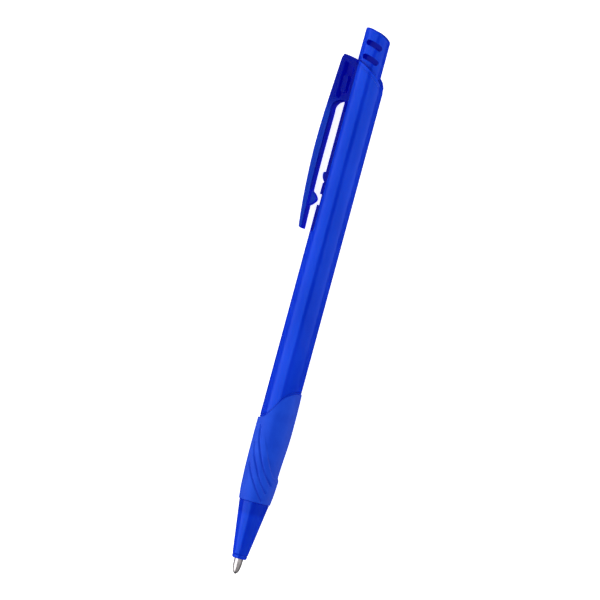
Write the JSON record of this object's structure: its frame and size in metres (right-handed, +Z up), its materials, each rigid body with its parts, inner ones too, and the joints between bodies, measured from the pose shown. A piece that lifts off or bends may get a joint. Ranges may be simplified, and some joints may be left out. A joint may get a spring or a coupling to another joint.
{
  "type": "retractable gel pen",
  "caption": "Click-action gel pen with a tinted barrel, moulded pocket clip, rubber finger grip, screw-on nose cone, push button and a refill with a metal point.",
  "frame": {"origin": "on the table, under the middle of the pen's bounding box, with the pen lying on its grip and its clip", "axes": "+X along the pen from the writing tip to the push button, +Y towards the clip side, +Z up from the table"},
  "size_m": [0.142, 0.0136, 0.0095],
  "materials": {
    "barrel_plastic": "translucent tinted gloss",
    "grip_rubber": "soft satin",
    "nose_plastic": "translucent tinted gloss",
    "button_plastic": "tinted gloss",
    "cam_plastic": "natural acetal",
    "spring_steel": "drawn wire",
    "nickel_silver": "turned nickel silver",
    "ball_carbide": "polished carbide",
    "holder_plastic": "natural",
    "tube_plastic": "clear polypropylene",
    "ink": "blue gel",
    "follower_grease": "clear grease",
    "plug_plastic": "natural"
  },
  "bodies": {
    "body": {"barrel": "barrel_plastic", "grip_sleeve": "grip_rubber", "return_spring": "spring_steel"},
    "nose": {"nose_cone": "nose_plastic"},
    "button": {"push_button": "button_plastic"},
    "refill": {"metal_point": "nickel_silver", "point_holder": "holder_plastic", "refill_tube": "tube_plastic", "gel_ink": "ink", "ink_follower": "follower_grease", "tail_plug": "plug_plastic"},
    "rotor": {"cam_rotor": "cam_plastic"},
    "ball": {"writing_ball": "ball_carbide"}
  },
  "joints": [
    {"name": "button_press", "type": "slide", "parent": "body", "child": "button", "axis": [1, 0, 0], "range_m": [-0.001, 0.0055], "stiffness_N_per_m": 300},
    {"name": "refill_slide", "type": "slide", "parent": "body", "child": "refill", "axis": [1, 0, 0], "range_m": [-0.001, 0.0055], "deforming": ["return_spring"]},
    {"name": "rotor_turn", "type": "hinge", "parent": "refill", "child": "rotor", "pos_m": [0.03, -0.00206, 0.00475], "axis": [1, 0, 0], "range_deg": [-8.18, 45]},
    {"name": "ball_roll", "type": "hinge", "parent": "refill", "child": "ball", "pos_m": [-0.0706, -0.00206, 0.00475], "axis": [0, 1, 0], "continuous": true},
    {"name": "nose_unscrew", "type": "hinge", "parent": "body", "child": "nose", "pos_m": [-0.06, -0.00206, 0.00475], "axis": [1, 0, 0], "range_deg": [0, 2160]}
  ],
  "couplings": [
    {"joint": "refill_slide", "follows": "button_press", "ratio": 1},
    {"joint": "rotor_turn", "follows": "button_press", "rad_per_m": 142.8}
  ]
}
